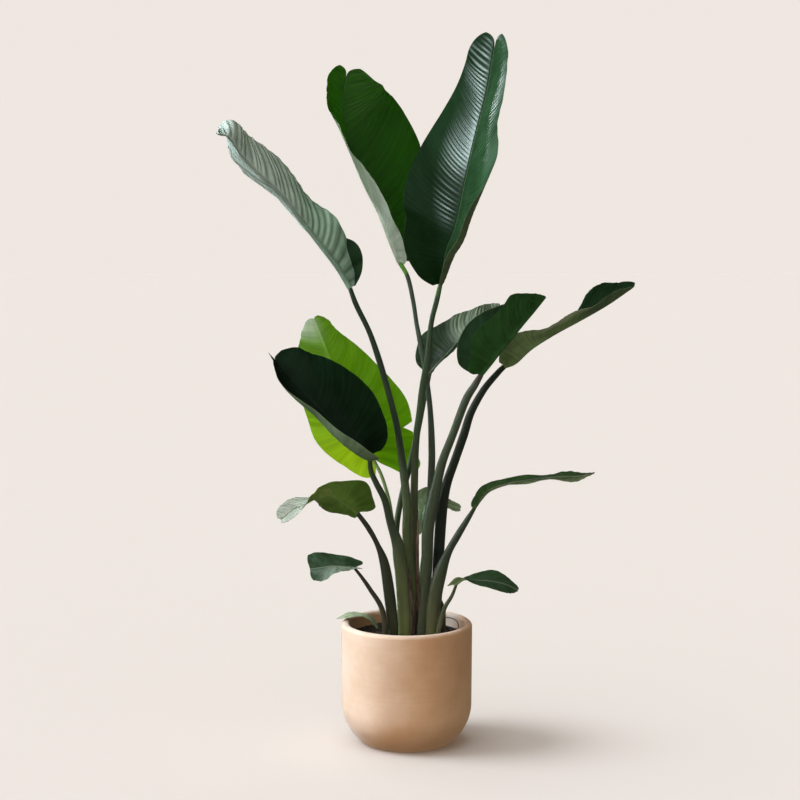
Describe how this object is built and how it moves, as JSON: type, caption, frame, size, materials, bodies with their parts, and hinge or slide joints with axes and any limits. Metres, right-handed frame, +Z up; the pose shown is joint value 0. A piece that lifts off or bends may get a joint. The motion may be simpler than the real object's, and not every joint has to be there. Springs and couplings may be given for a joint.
{
  "type": "potted bird of paradise plant",
  "caption": "Tall potted bird of paradise: broad upright paddle leaves on long sheathed stalks, in the soil of a plain round clay pot with a rounded foot.",
  "frame": {"origin": "centre of the pot's flat underside, on the pot's axis", "axes": "+Z up along the pot's axis; -Y towards the side that is seen best; +X to the right seen from there"},
  "size_m": [0.8931, 0.3697, 1.5658],
  "materials": {
    "leaf": "satin leaf, stands in for living leaf tissue",
    "stalk": "satin, stands in for living leaf stalk",
    "dried": "dry, matte",
    "soil": "moist crumbly potting soil",
    "clay": "unglazed, matte"
  },
  "bodies": {
    "root": {"blade_top_right": "leaf", "stalk_top_right": "stalk", "blade_top_left": "leaf", "stalk_top_left": "stalk", "blade_far_left": "leaf", "stalk_far_left": "stalk", "blade_mid_left_front": "leaf", "stalk_mid_left_front": "stalk", "blade_mid_left_back": "leaf", "stalk_mid_left_back": "stalk", "blade_mid_right_back": "leaf", "stalk_mid_right_back": "stalk", "blade_mid_right_folded": "leaf", "stalk_mid_right_folded": "stalk", "blade_far_right": "leaf", "stalk_far_right": "stalk", "blade_low_right": "leaf", "stalk_low_right": "stalk", "blade_low_left": "leaf", "stalk_low_left": "stalk", "blade_small_left": "leaf", "stalk_small_left": "stalk", "blade_small_right": "leaf", "stalk_small_right": "stalk", "blade_small_back": "leaf", "stalk_small_back": "stalk", "blade_over_rim": "leaf", "stalk_over_rim": "stalk", "dry_sheath_left": "dried", "dry_sheath_middle": "dried", "dry_stem": "dried", "cut_stalk": "stalk", "soil": "soil", "pot": "clay"}
  },
  "joints": []
}
